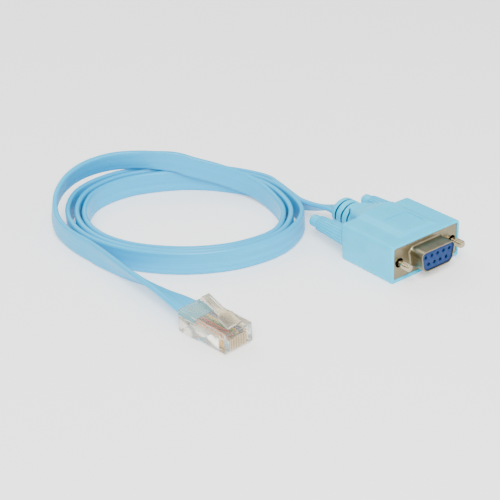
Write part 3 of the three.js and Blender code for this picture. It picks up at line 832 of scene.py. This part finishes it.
boolean(hood, "DIFFERENCE", panel_recess(), flange_pocket, pocket_mouth, block_pocket, lead_slot,
        join(*bores))
finish_piece(hood, "moulded_hood", "cable", "hood_pvc", replaced=["hood"], angle=40)

# %% [markdown]
# ## Nickel, gold and the blue insulator
#
# The shell of a D-sub is drawn from steel sheet and plated with nickel, which is a warm grey metal and not
# a blue one. Drawing leaves faint streaks in the direction of the pull. The screws are turned and plated
# brighter. The contacts are gold over nickel. Metals keep the default IOR, because their colour comes from
# the base colour alone.

# %% Metal finishes
def plated(name, light, dark, streak, low, high):
    """Plated sheet or bar: a metal with streaks drawn along Y."""
    return patterned(name, (5.0, dark, light, 0.3, 0.7), (3.0, low, high), (0.3, 0.001, 0.5), streak,
                     Metallic=1.0)


shell_nickel = plated("nickel_plated_steel", "918870", "7A715A", 0.25, 0.28, 0.42)
screw_nickel = plated("turned_nickel_screw", "B0A68A", "9C9176", 1.0, 0.12, 0.22)
contact_gold = plated("gold_flash_on_nickel", "E2AE3C", "CE952A", 0.3, 0.2, 0.32)
print("metals:", shell_nickel.name, screw_nickel.name, contact_gold.name)

# %% [markdown]
# The insulator is glass-filled polyester in mid blue. The glass gives it a slightly dull, faintly speckled
# face, so it gets a higher roughness than plain plastic and a fine grain.

# %% Insulator finish
insulator_blue = patterned("glass_filled_polyester_blue", (0.35, "04285A", "063166", 0.35, 0.65, 4.0),
                           (1.5, 0.45, 0.6), (0.1, 0.006), IOR=1.57, Specular_IOR_Level=0.2)

# %% [markdown]
# ## The D-sub shell
#
# Seen from the front it is a flange with two screw holes, and a D-shaped skirt drawn out of it. The skirt's
# root has a soft radius where the sheet turned the corner of the die, and its rim is open, so the edge shows
# the thickness of the sheet. A bar is tapered into the D, its long edges are rounded, and rings are extruded
# from its back end and swung outwards to make the root.

# %% D-shaped bar
D_WIDTH = 16.3
D_HEIGHT = 7.9
D_SIDE_ANGLE = math.radians(10)
D_CORNER = 2.3
SHEET = 0.4
SKIRT_RIM = FLANGE_LOW.y
FLANGE_BACK = FLANGE_FACE + 0.8


def d_bar(width, height, corner, front, back):
    """A bar along Y whose section is a D: wide above, with sides that lean in by ten degrees."""
    bar = block((-width / 2, front, AXIS_HEIGHT - height / 2), (width / 2, back, AXIS_HEIGHT + height / 2))
    resize(bar, "VERT", lambda middle, run: middle.z < AXIS_HEIGHT,
           (1 - 2 * height * math.tan(D_SIDE_ANGLE) / width, 1, 1))
    return round_edges(bar, corner, 7, lambda middle, run: along_y(run))


def grow(bar, y, by, width, height):
    """Pushes the bar's open end ring at y outwards by that many millimetres all round."""
    bpy.ops.transform.resize(value=((width + 2 * by) / width, 1, (height + 2 * by) / height),
                             center_override=(0, y * MM, AXIS_HEIGHT * MM))


# %% Draw the skirt out of the flange
ROOT_RADIUS = 0.7
ROOT_STEPS = 5


def skirt():
    """The skirt and its root as one open sheet, given its thickness inwards."""
    shell = d_bar(D_WIDTH, D_HEIGHT, D_CORNER, SKIRT_RIM, FLANGE_FACE - ROOT_RADIUS)
    pick(shell, "FACE", lambda middle, run: abs(run.y) > 0.99)
    bpy.ops.mesh.delete(type="ONLY_FACE")
    leave()
    y, out = FLANGE_FACE - ROOT_RADIUS, 0.0
    for step in range(1, ROOT_STEPS + 1):
        angle = math.pi / 2 * step / ROOT_STEPS
        next_y = FLANGE_FACE - ROOT_RADIUS + ROOT_RADIUS * math.sin(angle)
        next_out = ROOT_RADIUS * (1 - math.cos(angle))
        pick(shell, "EDGE", lambda middle, run: middle.y > y - 1e-4 and not along_y(run))
        bpy.ops.mesh.extrude_edges_move(TRANSFORM_OT_translate={"value": (0, (next_y - y) * MM, 0)})
        grow(shell, next_y, next_out - out, D_WIDTH + 2 * out, D_HEIGHT + 2 * out)
        leave()
        y, out = next_y, next_out
    pick(shell, "FACE", everything)
    bpy.ops.mesh.normals_make_consistent(inside=False)
    leave()
    return modify(shell, "SOLIDIFY", thickness=SHEET * MM, offset=-1)


def flange():
    """The flange plate with the D opening and two screw holes."""
    plate = soft_bar(FLANGE_HIGH.x - FLANGE_LOW.x, flange_height, AXIS_HEIGHT, FLANGE_FACE, FLANGE_BACK,
                     FLANGE_CORNER)
    round_edges(plate, 0.12, 2, rim(high=FLANGE_FACE + 0.01))
    opening = d_bar(D_WIDTH + ROOT_RADIUS, D_HEIGHT + ROOT_RADIUS, D_CORNER, FLANGE_FACE - 1, FLANGE_BACK + 1)
    holes = [rod(SCREW_HOLE, FLANGE_FACE - 1, FLANGE_BACK + 1, x, AXIS_HEIGHT, 40)
             for x in (-SCREW_X, SCREW_X)]
    return boolean(plate, "DIFFERENCE", opening, join(*holes))


shell = boolean(flange(), "UNION", skirt())
finish_piece(shell, "dsub_shell", "cable", "shell_nickel", shell_nickel, replaced=["front_shell"], angle=32)

# %% [markdown]
# ## The insulator and its sockets
#
# The block stands just inside the rim. Its nine holes lead into round tubes, and each has a small
# countersink that guides the pin in. Five holes are in the long row and four in the short one.

# %% Insulator with its holes
CONTACT_PITCH = 2.77
ROW_SPACING = 2.84
ROWS = ((5, AXIS_HEIGHT + ROW_SPACING / 2), (4, AXIS_HEIGHT - ROW_SPACING / 2))
ENTRY_RADIUS = 0.62
TUBE_RADIUS = 1.15
FACE_PLAY = 0.16
COUNTERSINK = 0.22
contact_places = [((i - (count - 1) / 2) * CONTACT_PITCH, z) for count, z in ROWS for i in range(count)]


def insulator():
    """The D-shaped face and the block behind it, with countersunk holes."""
    face = INSULATOR_LOW.y
    front = d_bar(D_WIDTH - 2 * SHEET - FACE_PLAY, D_HEIGHT - 2 * SHEET - FACE_PLAY, D_CORNER - SHEET, face,
                  FLANGE_BACK + 1)
    round_edges(front, 0.15, 2, rim(high=face + 0.01))
    back = block((INSULATOR_LOW.x, FLANGE_BACK + 0.3, INSULATOR_LOW.z),
                 (INSULATOR_HIGH.x, INSULATOR_HIGH.y, INSULATOR_HIGH.z))
    body = boolean(front, "UNION", back)
    holes = [rod(ENTRY_RADIUS, face - 1, face + 1.2, x, z, 20) for x, z in contact_places]
    sinks = [rod(ENTRY_RADIUS + COUNTERSINK * 2, face - COUNTERSINK, face + COUNTERSINK, x, z, 20,
                 back_radius=ENTRY_RADIUS - COUNTERSINK * 0.5) for x, z in contact_places]
    tubes = [rod(TUBE_RADIUS, face + 0.8, INSULATOR_HIGH.y + 1, x, z, 16) for x, z in contact_places]
    return boolean(body, "DIFFERENCE", join(*holes), join(*sinks), join(*tubes))


finish_piece(insulator(), "blue_insulator", "cable", "insulator_blue", insulator_blue, replaced=["insulator"])
for name, node in nodes.items():
    if name.startswith("socket_contact"):
        give_finish(node, contact_gold)
give_finish(nodes["rear_shell"], shell_nickel)

# %% [markdown]
# ## Screws and knobs
#
# Each thumbscrew is a long turned screw with a vinyl knob moulded on its head. Its tip has a 4-40 thread:
# 2.84 mm across, with a turn every 0.635 mm. The thread is a zigzag swept round by the Screw modifier, and
# a round bar with a chamfered tip trims it, as the bar stock does on a lathe.

# %% Threaded screw
SCREW_LOW, SCREW_HIGH = (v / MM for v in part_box("screw_left"))
THREAD_RADIUS = 1.42
THREAD_ROOT = 1.1
THREAD_PITCH = 0.635
THREAD_LENGTH = 3.6
THREAD_TURNS = 8


def thread():
    """Eight turns of the thread, closed at both ends and trimmed to length."""
    start = SCREW_LOW.y - THREAD_PITCH
    profile = [(THREAD_ROOT, 0), (THREAD_RADIUS, THREAD_PITCH * 0.44), (THREAD_RADIUS, THREAD_PITCH * 0.56),
               (THREAD_ROOT, THREAD_PITCH)]
    mesh = bpy.data.meshes.new("thread")
    mesh.from_pydata([(r * MM, (start + y) * MM, 0) for r, y in profile], [(0, 1), (1, 2), (2, 3)], [])
    piece = bpy.data.objects.new("thread", mesh)
    bpy.context.collection.objects.link(piece)
    modify(piece, "SCREW", axis="Y", steps=28, render_steps=28, angle=2 * math.pi, iterations=THREAD_TURNS,
           screw_offset=THREAD_PITCH * MM, use_merge_vertices=True, merge_threshold=0.001 * MM)
    pick(piece, "VERT", everything)
    bpy.ops.mesh.remove_doubles(threshold=0.002 * MM)
    bpy.ops.mesh.fill_holes(sides=0)
    bpy.ops.mesh.quads_convert_to_tris()
    bpy.ops.mesh.normals_make_consistent(inside=False)
    leave()
    stock = rod(THREAD_RADIUS + 0.02, SCREW_LOW.y, SCREW_LOW.y + THREAD_LENGTH, sides=28)
    round_edges(stock, 0.45, 1, rim())
    return boolean(piece, "INTERSECT", stock)


def thumbscrew_shank():
    """The plain part of the screw, from inside the thread to inside the knob."""
    bar = rod(THREAD_ROOT - 0.02, SCREW_LOW.y + 0.2, SCREW_HIGH.y, sides=28)
    return round_edges(bar, 0.2, 2, rim())


screw = boolean(thread(), "UNION", thumbscrew_shank())
print("screw faces:", len(screw.data.polygons))

# %% [markdown]
# The knob is made for fingertips: fine ribs along it, a plain rounded cap, and a slight taper to the back.
# A cylinder with six sides to a rib gets its ribs by pulling three of every six of its edges inwards.

# %% Ribbed knob
KNOB_FRONT = HOOD_REAR + 0.3
KNOB_RADIUS = 3.6
KNOB_TAPER = 0.78
KNOB_LENGTH = 19.2
KNOB_CAP = 4.2
KNOB_CAP_RADIUS = 2.25
KNOB_RIBS = 20
RIB_DEPTH = 0.36


def knob():
    """The ribbed grip and its cap, with a hole for the screw."""
    back = KNOB_FRONT + KNOB_LENGTH
    cap_start = back - KNOB_CAP
    grip = rod(KNOB_RADIUS, KNOB_FRONT, cap_start, sides=6 * KNOB_RIBS)
    step = 2 * math.pi / (6 * KNOB_RIBS)

    def in_groove(middle, run):
        if math.hypot(middle.x, middle.z) < 0.5 * KNOB_RADIUS:
            return False
        return round(math.atan2(middle.z, middle.x) / step) % 6 < 3

    shrink = 1 - RIB_DEPTH / KNOB_RADIUS
    resize(grip, "VERT", in_groove, (shrink, 1, shrink))
    resize(grip, "VERT", lambda middle, run: middle.y > cap_start - 0.01, (KNOB_TAPER, 1, KNOB_TAPER))
    round_edges(grip, 0.2, 2, lambda middle, run: not along_y(run) and abs(run.y) < 0.05)
    cap = rod(KNOB_CAP_RADIUS, cap_start - 0.6, back, sides=48)
    round_edges(cap, 1.3, 6, rim(back - 0.01))
    bore = rod(THREAD_ROOT + 0.1, KNOB_FRONT - 1, SCREW_HIGH.y + 0.2, sides=24)
    return boolean(boolean(grip, "UNION", cap), "DIFFERENCE", bore)


grip = knob()
for side, x in (("left", -SCREW_X), ("right", SCREW_X)):
    body = f"thumbscrew_{side}"
    finish_piece(copy_of(screw, (x, 0, AXIS_HEIGHT)), f"turned_screw_{side}", body, "screw_nickel",
                 screw_nickel, replaced=[f"screw_{side}"])
    finish_piece(copy_of(grip, (x, 0, AXIS_HEIGHT)), f"ribbed_knob_{side}", body, "knob_plastic", knob_vinyl,
                 replaced=[f"knob_{side}"], angle=30)
for spare in (screw, grip):
    bpy.data.objects.remove(spare, do_unlink=True)

# %% [markdown]
# ## The clear plug
#
# The plug is moulded polycarbonate, so everything in it shows: the end of the jacket, eight coloured wires
# and eight gold blades. Real polycarbonate has an IOR of 1.58. A lower one is used here, with nearly full
# transmission, a soft gloss and a slightly warm tint, because it shows the wires as the photograph does.

# %% Clear polycarbonate
clear_plastic = patterned("clear_polycarbonate", (3.0, "F9F1DE", "FDF8EA"), (2.0, 0.08, 0.15),
                          (0.6, 0.006, 0.6), IOR=1.3, Transmission_Weight=0.95)

# %% [markdown]
# The side walls of the blade slots are left frosted by the mould's spark-eroded pins, so they scatter more
# light than the polished faces do. They get a finish of their own.

# %% Frosted polycarbonate
frosted_plastic = patterned("frosted_polycarbonate", (0.8, "F3E6C6", "FAF0D8"), (0.6, 0.35, 0.5),
                            (0.15, 0.008), IOR=1.32, Transmission_Weight=0.35)

# %% Body of the plug
PLUG_WIDTH = 11.68
NOSE_FLOOR = 0.85
NOSE_TOP = 7.45
TAIL_TOP = 8
STEP_START, STEP_END = 12.2, 13.6
CORE_RADIUS = 0.42
CORE_STOP = 1.4
CHANNEL_REACH = 0.72
MOUTH_PLAY = 0.5
BLADE = (0.34, 3.4, 3.6)
BLADE_FRONT = 0.6
BLADE_FLOOR = 1.1
SLOT_HALF = 0.28
SLOT_PLAY = 0.3
core_places = [(i - 3.5) * WIRE_PITCH for i in range(WIRE_COUNT)]


def plug_body():
    """The moulding: nose, step underneath, tail, lead mouth, wire channel and blade slots."""
    half = PLUG_WIDTH / 2
    body = block((-half, 0, NOSE_FLOOR), (half, PLUG_LENGTH, NOSE_TOP))
    shift(body, "FACE", faces_back, (0, STEP_START - PLUG_LENGTH, 0))
    extend(body, STEP_END - STEP_START)
    slope = (TAIL_TOP - NOSE_TOP) * (STEP_END - STEP_START) / (PLUG_LENGTH - STEP_START)
    shift(body, "VERT", lambda middle, run: middle.y > STEP_END - 0.01 and middle.z < AXIS_HEIGHT / 2,
          (0, 0, -NOSE_FLOOR))
    shift(body, "VERT", lambda middle, run: middle.y > STEP_END - 0.01 and middle.z > AXIS_HEIGHT / 2,
          (0, 0, slope))
    extend(body, PLUG_LENGTH - STEP_END)
    shift(body, "VERT", lambda middle, run: middle.y > PLUG_LENGTH - 0.01 and middle.z > AXIS_HEIGHT / 2,
          (0, 0, TAIL_TOP - NOSE_TOP - slope))
    modify(body, "BEVEL", width=0.3 * MM, segments=3, limit_method="ANGLE", angle_limit=math.radians(30))
    mouth = soft_bar(LEAD_WIDTH + MOUTH_PLAY, LEAD_THICKNESS + MOUTH_PLAY, PLUG_LEAD_AXIS,
                     PLUG_JACKET_STOP - 0.3, PLUG_LENGTH + 1, 0.8)
    channel = block((core_places[0] - CHANNEL_REACH, CORE_STOP - 0.3, PLUG_LEAD_AXIS - CHANNEL_REACH),
                    (core_places[-1] + CHANNEL_REACH, PLUG_JACKET_STOP + 0.2, PLUG_LEAD_AXIS + CHANNEL_REACH))
    slot_back, slot_top = BLADE_FRONT + BLADE[1] + SLOT_PLAY, BLADE_FLOOR + BLADE[2] + SLOT_PLAY
    blade_slots = [block((x - SLOT_HALF, -1, NOSE_FLOOR - 1), (x + SLOT_HALF, slot_back, slot_top))
                   for x in core_places]
    return boolean(body, "DIFFERENCE", mouth, channel, join(*blade_slots))


def into_plug_frame(piece):
    """Puts a piece made in the plug's own frame where the plug lies."""
    piece.data.transform(plug_frame)
    return piece


def frost(piece):
    """Gives the side walls of the blade slots the second material."""
    reach = Vector((core_places[-1] + 0.1, BLADE_FRONT + BLADE[1] + 0.4, BLADE_FLOOR + BLADE[2] + 0.35))
    for face in piece.data.polygons:
        middle = face.center / MM
        if abs(face.normal.x) > 0.5 and abs(middle.x) < reach.x and middle.y < reach.y and middle.z < reach.z:
            face.material_index = 1


clear_shape = give_finish(plug_body(), clear_plastic, frosted_plastic)
frost(clear_shape)
clear_body = finish_piece(into_plug_frame(clear_shape), "clear_plug", "cable", "clear_plastic",
                          replaced=["plug_body"])

# %% [markdown]
# The latch is a springy tongue: wide at its root on the nose, narrow where a thumb presses it, with a
# shallow trough down its middle that keeps it stiff.

# %% Latch
LATCH_ROOT = 1.6
LATCH_SHOULDER = 4.8
LATCH_SLOPE = 1.2
LATCH_LENGTH = 14.5
LATCH_HALF, TAB_HALF = 3, 1.65
LATCH_THICKNESS = 0.9
LATCH_LIFT = math.radians(21)
LATCH_GAP = 0.3
TROUGH_HALF = 0.95
TROUGH_START = 6.6
TROUGH_END = 1.2
TROUGH_DEPTH = 0.3


def latch():
    """The tongue: a wide strip that narrows to the tab, with a trough on top."""
    piece = block((-LATCH_HALF, 0, 0), (LATCH_HALF, LATCH_SHOULDER, LATCH_THICKNESS))
    extend(piece, LATCH_SLOPE)
    resize(piece, "FACE", faces_back, (TAB_HALF / LATCH_HALF, 1, 1))
    extend(piece, LATCH_LENGTH - LATCH_SHOULDER - LATCH_SLOPE)
    modify(piece, "BEVEL", width=0.18 * MM, segments=2, limit_method="ANGLE", angle_limit=math.radians(30))
    trough = block((-TROUGH_HALF, TROUGH_START, LATCH_THICKNESS - TROUGH_DEPTH),
                   (TROUGH_HALF, LATCH_LENGTH - TROUGH_END, LATCH_THICKNESS + 1))
    round_edges(trough, 0.5, 3, lambda middle, run: abs(run.z) > 0.99)
    boolean(piece, "DIFFERENCE", trough)
    piece.data.transform(Matrix.Translation(Vector((0, LATCH_ROOT, NOSE_TOP + LATCH_GAP)) * MM)
                         @ Matrix.Rotation(LATCH_LIFT, 4, "X"))
    return into_plug_frame(piece)


clear_latch = finish_piece(latch(), "plug_spring_latch", "latch", "clear_plastic", clear_plastic,
                           replaced=["plug_latch"])

# %% [markdown]
# The wires are bare of the jacket for the last stretch. Each has its own PVC insulation, glossier and more
# saturated than the jacket. They are round bars with rounded ends, bent a little, since hands lay them in.
# The cut end of each is copper, coloured nearly black: painted shade for the dark ends of the wire channels.

# %% Wires
WIRE_COLOURS = {"orange": "EE7A0A", "brown": "2C140A", "red": "B01208", "green": "14782A", "yellow": "E0BC0E",
                "blue": "1C46A8", "grey": "5A5E66", "white": "DCDAD0"}
WIRE_RINGS = 10
WIRE_BOW = 0.09
WIRE_LIFT = 0.16
random.seed(8)


def wire_finish(colour, value):
    """Extruded PVC wire insulation."""
    dark = "".join(f"{int(int(value[i:i + 2], 16) * 0.9):02X}" for i in (0, 2, 4))
    return patterned(f"wire_insulation_{colour}", (1.5, dark, value), (1.0, 0.28, 0.42), IOR=VINYL_IOR)


def wire(x):
    """One wire from the jacket's end to its blade."""
    piece = rod(CORE_RADIUS, CORE_STOP, PLUG_JACKET_STOP - 0.05, x, PLUG_LEAD_AXIS, sides=14)
    for i in range(1, WIRE_RINGS):
        y = CORE_STOP + (PLUG_JACKET_STOP - CORE_STOP) * i / WIRE_RINGS
        pick(piece, "VERT", everything)
        bpy.ops.mesh.bisect(plane_co=(0, y * MM, 0), plane_no=(0, 1, 0))
        leave()
    round_edges(piece, 0.12, 2, rim(high=CORE_STOP + 0.01))
    # Material 1, the near-black copper, goes on each wire's flat cut end as painted shade for the dark
    # channel ends.
    for face in piece.data.polygons:
        face.material_index = int(face.normal.y < -0.9 and face.center.y < (CORE_STOP + 0.01) * MM)
    bow, lift = random.uniform(-WIRE_BOW, WIRE_BOW), random.uniform(-WIRE_LIFT, WIRE_LIFT)
    for v in piece.data.vertices:
        share = math.sin(math.pi * (v.co.y / MM - CORE_STOP) / (PLUG_JACKET_STOP - CORE_STOP))
        v.co.x += bow * share * MM
        v.co.z += lift * share * MM
    return into_plug_frame(piece)


# The copper's near-black colours are painted shade, darker than copper itself, for the shade at the ends of
# the wire channels.
cut_copper_painted_shade, tree, surface = new_finish("cut_copper_ends_painted_shade", Metallic=1.0, Roughness=0.5)
place = millimetres(tree)
tree.links.new(mottle(tree, place, 0.12, "140A05", "4A2814"), surface.inputs["Base Color"])
for x, (colour, value) in zip(core_places, WIRE_COLOURS.items()):
    finish_piece(wire(x), f"wire_{colour}", "cable", f"wire_{colour}",
                                    wire_finish(colour, value), cut_copper_painted_shade, replaced=[f"core_{colour}"])

# %% [markdown]
# Each blade is stamped from sheet and pushed down through a wire. Its top edge has two teeth that bite
# into the strands, and its front lower corner is rounded, where the jack's spring slides on.

# %% Blades
def blade(x):
    """One stamped contact with a rounded heel and two teeth."""
    thick, long, high = BLADE
    piece = block((x - thick / 2, BLADE_FRONT, BLADE_FLOOR),
                  (x + thick / 2, BLADE_FRONT + long, BLADE_FLOOR + high))
    round_edges(piece, 0.7, 4, lambda middle, run: abs(run.x) > 0.99 and middle.z < BLADE_FLOOR + 0.1
                and middle.y < BLADE_FRONT + 0.1)
    notch = block((x - 1, BLADE_FRONT + long * 0.35, BLADE_FLOOR + high - 0.8),
                  (x + 1, BLADE_FRONT + long * 0.65, BLADE_FLOOR + high + 1))
    return into_plug_frame(boolean(piece, "DIFFERENCE", notch))


for i, x in enumerate(core_places, 1):
    finish_piece(blade(x), f"gold_blade_{i}", "cable", "contact_gold", contact_gold,
                                    replaced=[f"blade_{i}"])

# %% [markdown]
# ## Light and floor
#
# The photograph has a white ground and light from all round, with hardly a shadow. A white world gives
# that, and three large soft lamps add just enough direction to shape the rounded edges. The floor glows a
# little, which brings it nearer to white.

# %% Floor
FLOOR_SIZE = 4.0
FLOOR_GLOW = 0.4
bpy.ops.mesh.primitive_plane_add(size=FLOOR_SIZE)
floor = bpy.context.object
floor.name = "pale_floor"
floor_white, tree, surface = new_finish("white_card", Roughness=0.9, IOR=1.3)
surface.inputs["Base Color"].default_value = linear("F6F6F5")
surface.inputs["Emission Color"].default_value = linear("FFFFFF")
surface.inputs["Emission Strength"].default_value = FLOOR_GLOW
floor.data.materials.append(floor_white)

# %% Lights
WORLD_STRENGTH = 0.75
LAMPS = (
    ("key_softbox", (-0.45, -0.5, 0.75), 0.6, 19.0),
    ("fill_softbox", (0.5, -0.6, 0.5), 0.8, 3.0),
    ("back_softbox", (0.1, 0.8, 0.7), 0.8, 6.0),
)
world = bpy.data.worlds.new("white_studio")
bpy.context.scene.world = world
world.use_nodes = True
world.node_tree.nodes["Background"].inputs["Color"].default_value = (1, 1, 1, 1)
world.node_tree.nodes["Background"].inputs["Strength"].default_value = WORLD_STRENGTH
for name, spot, size, power in LAMPS:
    bpy.ops.object.light_add(type="AREA", location=spot)
    lamp = bpy.context.object
    lamp.name = name
    lamp.data.size = size
    lamp.data.energy = power
    lamp.rotation_euler = (CAMERA_AIM - Vector(spot)).to_track_quat("-Z", "Y").to_euler()
print("lamps:", len(LAMPS))

# %% Finish: leave nothing selected
bpy.ops.object.select_all(action="DESELECT")
